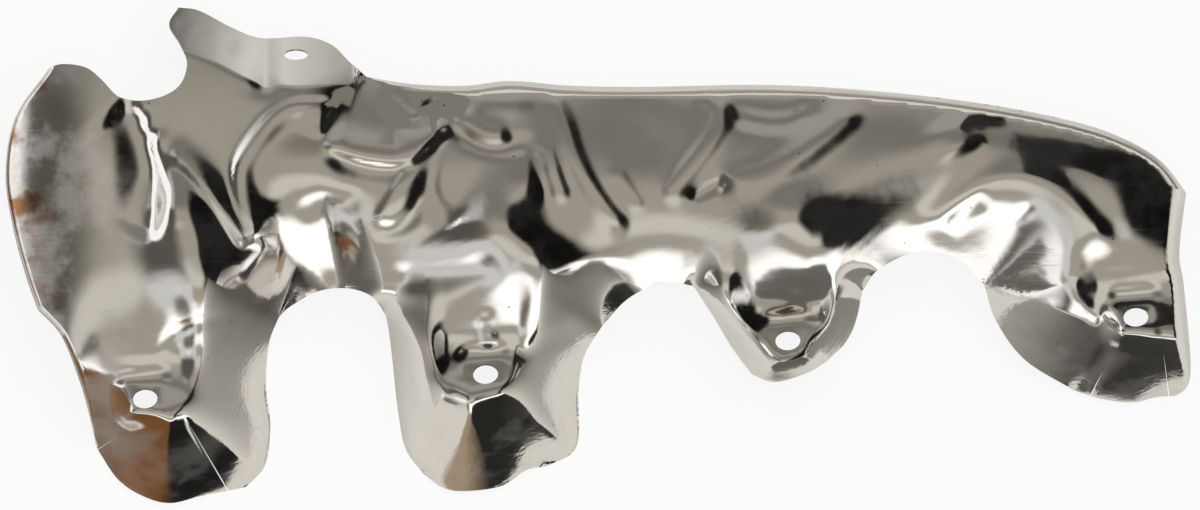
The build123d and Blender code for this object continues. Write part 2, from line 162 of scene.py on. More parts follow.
LOBE_2_FOOT = Rim(
    [(-18.5, -72, 2), (-25, -73.2, 6), (-33, -78.5, 6), (-45, -80.3, 6), (-53, -79.3, 5), (-60, -74.5, 4)],
    62, 16)
LOBE_2_LEFT = Rim(
    [(-60, -74.5, 4), (-66, -66, 0), (-68.5, -54, 0), (-70.3, -38, 0), (-71.5, -27, 10), (-72.5, -20.5, 26)],
    77, 20)
ARCH_1 = Rim(
    [(-72.5, -20.5, 44), (-77, -14, 48), (-85, -11.2, 50), (-95, -12, 50), (-105, -17.3, 49),
     (-109, -21, 45)],
    26, 6)
LOBE_1_RIGHT = Rim(
    [(-109, -21, 28), (-112.5, -30, 14), (-113.7, -44, 0), (-112.2, -58, 0), (-114, -71.5, 0),
     (-120.5, -79, 4)],
    69, 23)
LOBE_1_FOOT = Rim(
    [(-120.5, -79, 4), (-135, -81.8, 6), (-146, -84.4, 6), (-155, -82.3, 6), (-164, -76.5, 5),
     (-171.5, -65.5, 4)],
    62, 16)
LOBE_1_LEFT = Rim(
    [(-171.5, -65.5, 4), (-173.5, -56, 4), (-177, -43, 12), (-183, -27.5, 20), (-191, -18.5, 24)],
    87, 4)
LEFT_END = Rim(
    [(-191, -18.5, 24), (-195, -7, 26), (-199.5, 10, 26), (-201.9, 28, 26), (-198.5, 47, 28),
     (-187, 63.5, 36)],
    87, 4)
RIMS = [TOP_WALL, RIGHT_WALL, LOBE_4_FOOT, LOBE_4_LEFT, ARCH_3, LOBE_3_RIGHT, LOBE_3_FOOT, LOBE_3_LEFT,
        ARCH_2, LOBE_2_RIGHT, LOBE_2_FOOT, LOBE_2_LEFT, ARCH_1, LOBE_1_RIGHT, LOBE_1_FOOT, LOBE_1_LEFT,
        LEFT_END]

# Edges that are cut with no wall: the round notch beside the tab, and the tab's own edge
NOTCH = [LEFT_END.points[-1][:2], (-182, 65), (-174, 63.8), (-168.5, 59.5), (-163, 54), (-156, 52.5),
         (-148, 54), (-142, 58), (-139.7, 65), (-142, 71.5), (-146, 78.5), (-143, 84.4)]
TAB_EDGE = [NOTCH[-1], (-136, 83.3), (-125, 77.6), (-115, 74), (-100, 74.5), (-91, 71.7), (-85, 66),
            TOP_WALL.points[0][:2]]

# The fold along which the tab leans back
TAB_FOLD = [(-150, 71), (-140, 69), (-130, 65.5), (-113, 57), (-108, 58), (-78, 58)]
TAB_FOLD_END = -84.0
TAB_FOLD_FADE = 14.0

# Bolt holes, one to a lobe, the slant of their row, and the middles of the arches between the lobes
LOBE_HOLES = [(-154, -48.5), (-38.5, -40.2), (64, -28.8), (182, -20.8)]
HOLE_ROW_SLANT = 4.7
ARCH_MIDDLES = [-92, 15, 108]
TAB_HOLE = (-103, 68.3)

# Relief slits in the feet of the first and last lobes, each from its tip to past the edge
SLITS = [((-160.5, -59.5), (-174, -68)), ((-141, -54), (-125, -83)),
         ((173, -36), (166.5, -50)), ((191.5, -33), (195, -51))]


class Crease(NamedTuple):
    """A fold along a line: how high it stands, how far it spreads to left and right, how its ends fade."""

    line: list
    height: float
    left: float
    right: float
    power: float = 2.0
    fade: float = 0.25


class Dent(NamedTuple):
    """A rounded swelling, or a hollow where the height is below zero."""

    x: float
    y: float
    height: float
    length: float
    width: float
    turn: float = 0.0


FORMS = [
    # Dishes over the arches
    Crease([(-120, -8), (-108, -9), (-92, -9), (-74, -4)], -10, 21, 12, 2, 0.35),
    Dent(19, -12, -5, 17, 13),
    Dent(108, -2, -5, 15, 13),
    # Flanks of the runners beside the arches
    Crease([(-122, -26), (-129, -16), (-136, -4), (-139, 8), (-142, 20), (-148, 32)], 6.5, 14, 10, 2, 0.35),
    Crease([(-10, -16), (-18, -7), (-28, 3), (-34, 10), (-38, 18), (-45, 26)], 6, 14, 9, 2, 0.4),
    Crease([(88, -12), (80, -2), (70, 5), (64, 11), (60, 19), (57, 30)], 6.5, 16, 13, 2, 0.4),
    # Long valley beside the notch, with small facets
    Crease([(-164, 54), (-158, 46.5), (-154, 36), (-152.5, 22), (-152.5, 12), (-156, 3)],
           -3.4, 3.6, 9.5, 1.8, 0.15),
    Crease([(-152, 42), (-147, 31), (-144, 22), (-146, 8)], 1.0, 5, 2.6),
    Dent(-156, 50, 0.9, 3.4, 2.2),
    Dent(-153, 44.5, 0.9, 3.4, 2.2, 60),
    Dent(-149.5, 38.5, 0.9, 4, 2.4, 60),
    # Two beads that meet in a sharp turn
    Crease([(-147, 34.5), (-140, 31.5), (-130, 20), (-122, 8), (-118, 2)], 1.9, 4.5, 2, 2, 0.12),
    Crease([(-117, 2), (-116, 9), (-121, 20), (-121.5, 31), (-113, 44), (-105, 50), (-97, 51), (-88, 50.5)],
           1.9, 2, 4.5, 2, 0.08),
    # Short ledge and notch under the tab
    Crease([(-109, 50), (-97, 51.5), (-82, 51.5)], 0.7, 9, 3.2, 2, 0.35),
    Crease([(-96, 39), (-94.5, 45), (-95, 50)], 1.2, 5, 2.2, 2, 0.35),
    # Dome between the beads
    Dent(-100, 30, 3, 17, 11),
    Crease([(-103, 12), (-95, 18), (-87, 18), (-78, 20)], -0.8, 3, 3),
    # Tube that runs on from the notch
    Crease([(-94, 41), (-87, 36.5), (-74, 33.5), (-66, 33.5), (-58, 40), (-51, 46)], 2.2, 6, 2.5, 2, 0.12),
    Crease([(-93, 37), (-84, 30.5), (-73, 28.5), (-64, 31), (-57, 38)], -0.9, 2.4, 3, 2, 0.2),
    # Tab
    Crease([(-144, 81), (-136, 75), (-121, 70)], -2.2, 2.4, 3, 2, 0.2),
    Crease([(-143, 85), (-136, 76)], 1, 2, 2),
    Dent(-87.5, 66.5, -0.8, 4, 2),
    Dent(-109, 72, -0.6, 8, 1.6),
    Dent(-113, 57, -1.1, 5, 3),
    # Bent valley under the top roll
    Crease([(-74, 58), (-67, 48.5), (-62, 46.5), (-55, 51.5), (-42, 52.5)], -1.5, 2.6, 2.6, 1.6),
    # Finger that runs down from the tube, and the groove beside it
    Crease([(-52, 45.5), (-60, 35), (-68, 22), (-76, 9)], 1.1, 5, 2.2, 2, 0.15),
    Crease([(-78, 8.5), (-69, 9.5), (-63, 14), (-59, 22)], -0.8, 2.2, 2.2),
    Crease([(-51.5, 45), (-56, 32), (-57, 22), (-52, 14), (-43, 14.5)], -0.9, 2.4, 4, 2),
    # Crescent and dome below the top roll
    Crease([(-49, 51), (-44, 44), (-37, 40.5), (-29, 42)], 1.3, 4, 3),
    Crease([(-51, 46), (-44, 39.5), (-34, 36.5), (-19, 39)], -1.2, 3, 2.5),
    Dent(-33, 52, 2.0, 12, 6),
    # Sharp ridge across the middle and the ridge beside it
    Crease([(-17, 58), (-12, 46), (-9, 36), (-4, 25), (4, 13.5), (11, 8)], 1.0, 2.4, 3.2, 1.8, 0.12),
    Crease([(-19, 41), (-16, 30), (-11, 16)], 0.9, 2.4, 2.8),
    Crease([(-21, 39), (-20, 28), (-17, 16)], -0.7, 2.6, 2.6),
    Dent(-25, 23, 2.0, 7, 7),
    Crease([(4, 31), (9, 23), (15, 14)], 0.5, 2, 2.4),
    # Hollow below the middle, over the second lobe
    Crease([(-74, -8), (-58, -7), (-45, -5), (-31, -1)], -1.5, 4.5, 4.5),
    # Second lobe
    Crease([(-80, -8), (-70, -18), (-64, -28), (-61, -35)], 0.9, 3, 3),
    Crease([(-67, -34), (-61, -40), (-55, -47)], 0.7, 2, 2),
    Dent(-50, -32, 0.4, 5, 5),
    Crease([(-39.5, -18), (-38, -26), (-36.5, -34)], 0.9, 2.4, 2.4),
    Crease([(-31, -37), (-20, -30.5), (-12, -26.5), (-6, -21)], -1.3, 2.8, 2.8),
    # First lobe
    Crease([(-149, -37), (-146, -28), (-137, -23), (-124, -20)], -0.6, 1.8, 1.8),
    Dent(-136, -33, -1.0, 7, 9),
    # Hollow and fingers right of the middle
    Dent(14, 40, -2.2, 18, 11, -35),
    Crease([(31, 56), (39, 52), (41, 46), (36, 37), (28, 26.5), (22, 17)], 1.1, 3.4, 3.0, 2, 0.12),
    Crease([(89, 52.5), (79, 43), (66, 33), (53, 26.5), (39, 24)], 1.7, 4.5, 4, 2, 0.15),
    Crease([(41, 50), (52, 46), (64, 45.5), (77, 51.5)], -1.2, 3, 3),
    Crease([(30, 18.5), (37, 22.5), (44, 26)], -0.9, 1.8, 1.8),
    # Third lobe
    Crease([(32, -8), (44, -10), (49.5, -16), (50, -25), (58, -38)], 0.9, 2.6, 2.6),
    Crease([(41, -16), (47, -26), (54, -36)], 0.7, 2.2, 2.2),
    Crease([(94, -1), (84, -13), (75, -34)], 1.1, 3, 3),
    # Plain end
    Crease([(125, 33), (121, 41), (117, 48)], 1.6, 8, 6, 2, 0.35),
    Crease([(106, 4), (118, 14), (130, 22.5), (142, 25.5), (154, 21), (166, 9), (173, -2)],
           3.0, 5, 13, 2, 0.15),
    Crease([(117, 8), (125, 15.5), (133, 21)], -1.0, 2, 3),
    Crease([(139, 10), (149, 18)], -0.6, 2, 2, 2, 0.4),
    # Fourth lobe
    Crease([(166, -7), (165, -13), (174, -20)], -0.7, 1.8, 1.8),
    Dent(162, -7.5, -0.6, 3.2, 2.2),
    Crease([(174, -29), (170, -37), (163, -47)], -1.4, 2.2, 2.2),
    Crease([(151, -16), (159, -19.5), (166, -22.5)], 0.6, 1.5, 1.5),
]


def tangent(degrees):
    return np.tan(np.radians(degrees))


def ease(share):
    """A share from 0 to 1 that starts and ends gently."""
    share = np.clip(share, 0, 1)
    return share * share * (3 - 2 * share)


def smooth_min(a, b, bend):
    """The lower of two heights, with the corner between them rounded over a height of bend."""
    overlap = np.maximum(bend - np.abs(a - b), 0)
    return np.minimum(a, b) - overlap * overlap / (4 * bend)


def smooth_max(a, b, bend):
    return -smooth_min(-a, -b, bend)


def curve_through(points, steps):
    """Points along a smooth curve through the given ones, with so many steps between each two."""
    p = np.array(points, float)
    ends = np.vstack([2 * p[0] - p[1], p, 2 * p[-1] - p[-2]])
    t = np.linspace(0, 1, steps, endpoint=False)[:, None]
    spans = []
    for before, start, end, after in zip(ends, ends[1:], ends[2:], ends[3:]):
        bow = 2 * before - 5 * start + 4 * end - after
        swing = 3 * start - before - 3 * end + after
        spans.append(start + 0.5 * ((end - before) * t + bow * t**2 + swing * t**3))
    return np.vstack(spans + [p[-1:]])


def closed(loop):
    return np.vstack([loop, loop[:1]])


def distance_to(curve, x, y):
    """How far each point lies from a curve."""
    nearest = np.full(x.shape, np.inf)
    for (ax, ay), (bx, by) in zip(curve[:-1], curve[1:]):
        run_x, run_y = bx - ax, by - ay
        share = ((x - ax) * run_x + (y - ay) * run_y) / (run_x**2 + run_y**2)
        share = np.clip(share, 0, 1)
        nearest = np.minimum(nearest, (x - ax - share * run_x) ** 2 + (y - ay - share * run_y) ** 2)
    return np.sqrt(nearest)


def within(loop, x, y):
    """Which points lie inside a closed loop."""
    inside = np.zeros(x.shape, bool)
    for (ax, ay), (bx, by) in zip(loop, np.roll(loop, -1, axis=0)):
        if ay != by:
            inside ^= ((ay > y) != (by > y)) & (x < (bx - ax) * (y - ay) / (by - ay) + ax)
    return inside


def edge_height_near(curve, x, y):
    """The height of a rim at the stretch that lies nearest to each point."""
    total = np.zeros(x.shape)
    weights = np.zeros(x.shape)
    for px, py, pz in curve:
        weight = 1 / ((x - px) ** 2 + (y - py) ** 2 + edge_softness**2) ** 2
        total += weight * pz
        weights += weight
    return total / weights


def outline_curves(steps):
    """The whole edge as seen from the front, one smooth curve to a stretch."""
    runs = [[point[:2] for point in rim.points] for rim in RIMS] + [NOTCH, TAB_EDGE]
    return [curve_through(run, steps) for run in runs]


def face_with_tab(x, y):
    """The crowned front face, leaning back above the fold of the tab."""
    face = face_height - face_fall_up * (y - face_crown_y) ** 2 - face_fall_along * (x - face_middle_x) ** 2
    face -= left_roll_fall * np.maximum(left_roll_x - x, 0) ** 2
    face -= right_roll_fall * np.maximum(x - right_roll_x, 0) ** 2
    fold_x, fold_y = zip(*TAB_FOLD)
    tab = tab_root_height - tangent(tab_slope) * (y - np.interp(x, fold_x, fold_y))
    # Past the end of the fold the tab's slope is lifted clear of the face
    tab += 2 * face_height * ease((x - TAB_FOLD_END) / TAB_FOLD_FADE)
    return smooth_min(face, tab, tab_root_bend)


def place_on_seat(x, y):
    """Where each point lies along and up the seat of its lobe, from the bolt hole."""
    slant = np.radians(HOLE_ROW_SLANT)
    lobe = np.searchsorted(ARCH_MIDDLES, x)
    hole_x, hole_y = np.array(LOBE_HOLES).T
    right, up = x - hole_x[lobe], y - hole_y[lobe]
    return right * np.cos(slant) + up * np.sin(slant), up * np.cos(slant) - right * np.sin(slant)


def with_seats(height, x, y):
    """The face drops under each runner's bulge to a bolt seat that leans back."""
    along, up = place_on_seat(x, y)
    seat = seat_height - tangent(seat_tilt) * up
    foot_of_bulge = seat_height - tangent(seat_tilt) * seat_rise_above_hole
    bulge = foot_of_bulge + tangent(bulge_slope) * (up - seat_rise_above_hole)
    seated = smooth_max(smooth_min(height, bulge, seat_bend), seat, seat_bend)
    return seated + (height - seated) * ease((np.abs(along) - seat_reach) / seat_fade)


def flat_round_holes(height, x, y):
    """Each seat is quite flat for a little way round its hole."""
    along, up = place_on_seat(x, y)
    seat = seat_height - tangent(seat_tilt) * up
    past_end = np.maximum(np.abs(along) - seat_flat_length / 2, 0)
    past_side = np.maximum(np.abs(up) - seat_flat_height / 2, 0)
    return seat + (height - seat) * ease(np.hypot(past_end, past_side) / seat_flat_bend)


def offset_and_share(line, x, y):
    """How far each point lies to the left of a line, and how far along the line its nearest place is."""
    steps = np.diff(line, axis=0)
    lengths = np.hypot(*steps.T)
    starts = np.concatenate([[0], np.cumsum(lengths)[:-1]])
    nearest = np.full(x.shape, np.inf)
    offset = np.zeros(x.shape)
    share = np.zeros(x.shape)
    for (ax, ay), (sx, sy), length, start in zip(line, steps, lengths, starts):
        along = np.clip(((x - ax) * sx + (y - ay) * sy) / length**2, 0, 1)
        gap = np.hypot(x - ax - along * sx, y - ay - along * sy)
        closer = gap < nearest
        nearest = np.where(closer, gap, nearest)
        side = np.where(sx * (y - ay) - sy * (x - ax) < 0, -1, 1)
        offset = np.where(closer, side * gap, offset)
        share = np.where(closer, (start + along * length) / lengths.sum(), share)
    return offset, share


def dent_rise(dent, x, y):
    turn = np.radians(dent.turn)
    u = (x - dent.x) * np.cos(turn) + (y - dent.y) * np.sin(turn)
    v = (y - dent.y) * np.cos(turn) - (x - dent.x) * np.sin(turn)
    return dent.height * np.exp(-((u / dent.length) ** 2) - (v / dent.width) ** 2)


def crease_rise(crease, x, y):
    offset, share = offset_and_share(curve_through(crease.line, crease_steps), x, y)
    spread = np.where(offset > 0, crease.left, crease.right)
    rounded = np.sqrt(offset**2 + crease_tip**2) - crease_tip
    ends = ease(share / crease.fade) * ease((1 - share) / crease.fade)
    return crease.height * ends * np.exp(-((rounded / spread) ** crease.power))


def folded(height, x, y):
    """The sheet with its folds and dents, which leave the tab flat round its hole."""
    rise = np.zeros(x.shape)
    for form in FORMS:
        rise += dent_rise(form, x, y) if isinstance(form, Dent) else crease_rise(form, x, y)
    clear = np.hypot(x - TAB_HOLE[0], y - TAB_HOLE[1]) - tab_hole_diameter / 2
    return height + rise * ease((clear - tab_flat_margin) / tab_root_bend)


def sheet_height(x, y):
    """Height of the sheet's front over each point, levelling off a little way outside its edge."""
    height = with_seats(face_with_tab(x, y), x, y)
    curves = outline_curves(form_steps)
    gaps = [distance_to(curve, x, y) for curve in curves]
    beyond = np.where(within(np.vstack(curves), x, y), 0, np.min(gaps, axis=0))
    overhang = skirt_reach * (1 - np.exp(-beyond / skirt_reach))
    for rim, gap in zip(RIMS, gaps):
        inwards = gap - beyond - overhang
        shoulder = rim.shoulder_height + tangent(rim.shoulder_slope) * inwards
        height = smooth_min(height, shoulder, rim.shoulder_bend)
        foot = edge_height_near(curve_through(rim.points, foot_steps), x, y) - floor_trim
        wall = foot + tangent(rim.wall_slope) * inwards
        height = smooth_min(height, wall, rim.wall_bend)
    return flat_round_holes(folded(height, x, y), x, y)


def even_loop(points, pitch):
    """Points at an even pitch round a closed loop."""
    loop = closed(points)
    lengths = np.hypot(*np.diff(loop, axis=0).T)
    places = np.concatenate([[0], np.cumsum(lengths)])
    wanted = np.linspace(0, places[-1], round(places[-1] / pitch), endpoint=False)
    return np.column_stack([np.interp(wanted, places, loop[:, 0]), np.interp(wanted, places, loop[:, 1])])


def row_inside(loop, depth):
    """Points that follow a clockwise loop at a depth inside it, without those that crowd in its corners."""
    ahead = np.roll(loop, -1, axis=0) - np.roll(loop, 1, axis=0)
    ahead /= np.hypot(*ahead.T)[:, None]
    row = loop + depth * np.column_stack([ahead[:, 1], -ahead[:, 0]])
    return row[distance_to(closed(loop), *row.T) > depth_kept * depth]


def hole_loop(x, y, diameter, tilt, slant):
    """A round hole in a leaning seat, as it looks from straight in front."""
    angles = np.linspace(0, 2 * np.pi, hole_corners, endpoint=False)
    across = diameter / 2 * np.cos(angles)
    up = diameter / 2 * np.cos(np.radians(tilt)) * np.sin(angles)
    slant = np.radians(slant)
    right = across * np.cos(slant) - up * np.sin(slant)
    return np.column_stack([x + right, y + across * np.sin(slant) + up * np.cos(slant)])


def slit_loop(tip, mouth):
    """A relief slit, from its tip to its full width past the edge."""
    tip, mouth = np.array(tip), np.array(mouth)
    run = (mouth - tip) / np.hypot(*(mouth - tip))
    sideways = np.array([-run[1], run[0]]) * relief_slit_width / 2
    return np.array([tip, mouth + sideways, mouth - sideways])


def on_sheet(outline, cuts, x, y):
    """Which points lie on the sheet, inside its outline and in none of its holes and slits."""
    inside = within(outline, x, y)
    for loop in cuts:
        inside &= ~within(loop, x, y)
    return inside


def inner_points(outline, cuts):
    """Points all over the sheet: rows that follow its edge, and an even grid inside them."""
    low, high = outline.min(0), outline.max(0)
    x, y = np.meshgrid(np.arange(low[0], high[0], mesh_pitch), np.arange(low[1], high[1], row_pitch))
    x = x + np.where(np.arange(len(y)) % 2, mesh_pitch / 2, 0)[:, None]
    x, y = x.ravel(), y.ravel()
    inside = within(outline, x, y)
    inside &= distance_to(closed(outline), x, y) > edge_rows[-1] + least_gap
    rows = np.vstack([row_inside(outline, depth) for depth in edge_rows])
    x, y = np.concatenate([x[inside], rows[:, 0]]), np.concatenate([y[inside], rows[:, 1]])
    clear = np.min([distance_to(closed(loop), x, y) for loop in cuts], axis=0)
    keep = on_sheet(outline, cuts, x, y) & (clear > least_gap)
    return np.column_stack([x[keep], y[keep]])


def sheet_plan():
    """Points and triangles of the sheet seen from the front, with its holes and slits left out."""
    outline = even_loop(np.vstack([curve[:-1] for curve in outline_curves(cut_steps)]), edge_pitch)
    cuts = [hole_loop(x, y, bolt_hole_diameter, seat_tilt, HOLE_ROW_SLANT) for x, y in LOBE_HOLES]
    cuts.append(hole_loop(*TAB_HOLE, tab_hole_diameter, tab_slope, 0))
    cuts += [slit_loop(tip, mouth) for tip, mouth in SLITS]
    points = [inner_points(outline, cuts)]
    edges = []
    count = len(points[0])
    for loop in [outline] + cuts:
        points.append(loop)
        edges += [(count + i, count + (i + 1) % len(loop)) for i in range(len(loop))]
        count += len(loop)
    flat = [Vector(point) for point in np.vstack(points)]
    corners, _, faces, _, _, _ = delaunay_2d_cdt(flat, edges, [], 0, plan_tolerance, False)
    corners = np.array(corners)
    faces = np.array([face for face in faces if len(face) == 3])
    middles = corners[faces].mean(axis=1)
    return corners, faces[on_sheet(outline, cuts, *middles.T)]


def facing_front(front, faces):
    """The triangles, all turned to face the front, and the direction that the sheet faces at each point."""
    a, b, c = front[faces[:, 0]], front[faces[:, 1]], front[faces[:, 2]]
    face_normals = np.cross(b - a, c - a)
    flipped = face_normals[:, 2] < 0
    faces[flipped] = faces[flipped][:, ::-1]
    face_normals[flipped] *= -1
    normals = np.zeros(front.shape)
    for corner in range(3):
        np.add.at(normals, faces[:, corner], face_normals)
    return faces, normals / np.linalg.norm(normals, axis=1, keepdims=True)


def cut_sides(faces):
    """The sides that belong to one triangle only, which are the sheet's cut edge."""
    sides = {}
    for face in faces:
        for start, end in zip(face, np.roll(face, -1)):
            if (end, start) in sides:
                del sides[(end, start)]
            else:
                sides[(start, end)] = True
    return list(sides)


def add_object(name, data):
    made = bpy.data.objects.new(name, data)
    bpy.context.scene.collection.objects.link(made)
    return made


def shield_sheet(name):
    """The pressed sheet: a smooth front and back, and a square cut edge that keeps its sharp corners."""
    plan, faces = sheet_plan()
    used, faces = np.unique(faces, return_inverse=True)
    x, y = plan[used].T
    front = np.column_stack([x, y, sheet_height(x, y)])
    faces, normals = facing_front(front, faces.reshape(-1, 3))
    corners = np.vstack([front, front - sheet_thickness * normals])
    corners[:, 2] = np.maximum(corners[:, 2], 0)
    count = len(front)
    sides = cut_sides(faces)
    rim = [(end, start, start + count, end + count) for start, end in sides]
    mesh = bpy.data.meshes.new(name)
    mesh.from_pydata((corners * MM).tolist(), [], faces.tolist() + (faces[:, ::-1] + count).tolist() + rim)
    mesh.polygons.foreach_set("use_smooth", [True] * (2 * len(faces)) + [False] * len(rim))
    mesh.update()
    sharp = {frozenset(side) for side in sides}
    sharp |= {frozenset((start + count, end + count)) for start, end in sides}
    mesh.edges.foreach_set("use_edge_sharp", [frozenset(edge.vertices) in sharp for edge in mesh.edges])
    return add_object(name, mesh)


def linear(hex_colour):
    """A colour written as sRGB hex, as the linear values that shaders take."""
    parts = [int(hex_colour[i : i + 2], 16) / 255 for i in (1, 3, 5)]
    return [part / 12.92 if part <= 0.04045 else ((part + 0.055) / 1.055) ** 2.4 for part in parts] + [1.0]


# Sockets of a Mix node set to colour, which share their names with those of its other kinds
MIX_A = 6
MIX_B = 7
MIX_RESULT = 2

# Settings that several nodes take
SMOOTH = {"interpolation_type": "SMOOTHSTEP"}
COLOUR = {"data_type": "RGBA"}
TIMES = {"operation": "MULTIPLY"}
LARGER = {"operation": "MAXIMUM"}


def add_node(tree, kind, settings=None, inputs=None):
    """Adds a node, sets it up, and joins or fills its sockets."""
    node = tree.nodes.new(kind)
    for key, value in (settings or {}).items():
        setattr(node, key, value)
    for key, value in (inputs or {}).items():
        if isinstance(value, bpy.types.NodeSocket):
            tree.links.new(value, node.inputs[key])
        else:
            node.inputs[key].default_value = value
    return node


def new_material(name):
    material = bpy.data.materials.new(name)
    material.use_nodes = True
    material.node_tree.nodes.clear()
    return material, material.node_tree


def bright_rolled_steel():
    """Cold rolled steel strip, drawn to shape and handled.

    It is close to a mirror, with slow waves left by the press, fine scratches from handling, a haze where
    it was rubbed, and a brown reflection painted into its colour at the end beside the tab.
    """
    material, tree = new_material("bright_rolled_steel")
    place = add_node(tree, "ShaderNodeTexCoord").outputs["Object"]
    sides = add_node(tree, "ShaderNodeSeparateXYZ", inputs={"Vector": place}).outputs

    # Haze: rubbed patches about 22 mm across, strongest on the end panel and on the flanks of the lobes
    patches = add_node(tree, "ShaderNodeTexNoise", inputs={
        "Vector": place, "Scale": 1 / (22 * MM), "Detail": 5.0, "Roughness": 0.62}).outputs["Fac"]
    rubbed = add_node(tree, "ShaderNodeMapRange", SMOOTH, {
        "Value": patches, "From Min": 0.42, "From Max": 0.62}).outputs[0]
    on_panel = add_node(tree, "ShaderNodeMapRange", SMOOTH, {
        "Value": sides["X"], "From Min": -150 * MM, "From Max": -178 * MM}).outputs[0]
    on_flank = add_node(tree, "ShaderNodeMapRange", SMOOTH, {
        "Value": sides["Z"], "From Min": 46 * MM, "From Max": 34 * MM}).outputs[0]
    flank_wear = add_node(tree, "ShaderNodeMath", TIMES, {0: on_flank, 1: 0.45}).outputs[0]
    worn = add_node(tree, "ShaderNodeMath", LARGER, {0: on_panel, 1: flank_wear}).outputs[0]
    worn = add_node(tree, "ShaderNodeMapRange", inputs={
        "Value": worn, "To Min": 0.05, "To Max": 0.6}).outputs[0]
    haze = add_node(tree, "ShaderNodeMath", TIMES, {0: rubbed, 1: worn}).outputs[0]

    # Scratches: 0.3 mm wide and a few centimetres long, drawn wider than real ones so that they show
    scratches = []
    for turn, seed in ((24, 0.0), (-58, 3.7)):
        along = add_node(tree, "ShaderNodeMapping", inputs={
            "Vector": place, "Location": (seed, seed, seed), "Rotation": (0, 0, math.radians(turn)),
            "Scale": (1 / (26 * MM), 1 / (0.6 * MM), 1 / (26 * MM))}).outputs[0]
        lines = add_node(tree, "ShaderNodeTexNoise", inputs={
            "Vector": along, "Scale": 1.0, "Detail": 2.0}).outputs["Fac"]
        scratches.append(add_node(tree, "ShaderNodeMapRange", SMOOTH, {
            "Value": lines, "From Min": 0.6, "From Max": 0.74}).outputs[0])
    scratched = add_node(tree, "ShaderNodeMath", LARGER, {0: scratches[0], 1: scratches[1]}).outputs[0]
    cut = add_node(tree, "ShaderNodeMath", TIMES, {0: scratched, 1: 0.35}).outputs[0]
    dull = add_node(tree, "ShaderNodeMath", {"operation": "ADD", "use_clamp": True}, {
        0: haze, 1: cut}).outputs[0]
    roughness = add_node(tree, "ShaderNodeMapRange", inputs={
        "Value": dull, "To Min": 0.11, "To Max": 0.32}).outputs[0]

    # Dry dust lies in the haze and hides part of the bare metal
    bare = add_node(tree, "ShaderNodeMapRange", inputs={
        "Value": haze, "To Min": 1.0, "To Max": 0.7}).outputs[0]
    colour = add_node(tree, "ShaderNodeMix", COLOUR, {
        "Factor": haze, MIX_A: linear("#E6E3DE"), MIX_B: linear("#DAD6D1")}).outputs[MIX_RESULT]

    # Painted reflection: brown patches about 14 mm across near the end edge, painted into the steel's colour
    reflection_noise = add_node(tree, "ShaderNodeTexNoise", inputs={
        "Vector": place, "Scale": 1 / (14 * MM), "Detail": 3.0, "Roughness": 0.55}).outputs["Fac"]
    reflection_patches = add_node(tree, "ShaderNodeMapRange", SMOOTH, {
        "Value": reflection_noise, "From Min": 0.45, "From Max": 0.6}).outputs[0]
    by_edge = add_node(tree, "ShaderNodeMapRange", SMOOTH, {
        "Value": sides["X"], "From Min": -180 * MM, "From Max": -196 * MM}).outputs[0]
    painted_brown_reflection = add_node(tree, "ShaderNodeMath", TIMES, {0: reflection_patches, 1: by_edge}).outputs[0]
    # The steel's colour turns brown here: a painted brown reflection, not a tint of the metal
    colour = add_node(tree, "ShaderNodeMix", COLOUR, {
        "Factor": painted_brown_reflection, MIX_A: colour, MIX_B: linear("#A87E5C")}).outputs[MIX_RESULT]

    # Specks: pits and grit about 0.5 mm across, one in every 9 mm or so
    cells = add_node(tree, "ShaderNodeTexVoronoi", inputs={
        "Vector": place, "Scale": 1 / (9 * MM)}).outputs["Distance"]
    speck = add_node(tree, "ShaderNodeMapRange", SMOOTH, {
        "Value": cells, "From Min": 0.05, "From Max": 0.025}).outputs[0]
    colour = add_node(tree, "ShaderNodeMix", COLOUR, {
        "Factor": speck, MIX_A: colour, MIX_B: linear("#6B6257")}).outputs[MIX_RESULT]

    # Waves left by the press, 13 mm from crest to crest, orange peel 2 mm across on the flanks, and scratches
    waves = add_node(tree, "ShaderNodeTexNoise", inputs={
        "Vector": place, "Scale": 1 / (13 * MM), "Detail": 2.0, "Roughness": 0.45}).outputs["Fac"]
    wavy = add_node(tree, "ShaderNodeBump", inputs={
        "Strength": 1.0, "Distance": 0.16 * MM, "Height": waves}).outputs[0]
    peel = add_node(tree, "ShaderNodeTexNoise", inputs={
        "Vector": place, "Scale": 1 / (2 * MM), "Detail": 2.0}).outputs["Fac"]
    peel = add_node(tree, "ShaderNodeMath", TIMES, {0: peel, 1: on_flank}).outputs[0]
    peeled = add_node(tree, "ShaderNodeBump", inputs={
        "Strength": 1.0, "Distance": 0.1 * MM, "Height": peel, "Normal": wavy}).outputs[0]
    normal = add_node(tree, "ShaderNodeBump", {"invert": True}, {
        "Strength": 0.5, "Distance": 0.006 * MM, "Height": scratched, "Normal": peeled}).outputs[0]

    steel = add_node(tree, "ShaderNodeBsdfPrincipled", inputs={
        "Base Color": colour, "Metallic": bare, "Roughness": roughness, "Normal": normal})
    add_node(tree, "ShaderNodeOutputMaterial", inputs={"Surface": steel.outputs[0]})
    return material


def white_paper():
    """Matt white studio paper: mostly plain white to the camera, with the shield's shadow left on it."""
    material, tree = new_material("white_paper")
    paper = add_node(tree, "ShaderNodeBsdfDiffuse", inputs={"Color": linear("#DEDCD8")})
    white = add_node(tree, "ShaderNodeEmission", inputs={"Color": linear("#FFFFFF")})
    seen = add_node(tree, "ShaderNodeLightPath").outputs["Is Camera Ray"]
    share = add_node(tree, "ShaderNodeMath", TIMES, {0: seen, 1: 0.88}).outputs[0]
    mix = add_node(tree, "ShaderNodeMixShader", inputs={0: share, 1: paper.outputs[0], 2: white.outputs[0]})
    add_node(tree, "ShaderNodeOutputMaterial", inputs={"Surface": mix.outputs[0]})
    return material


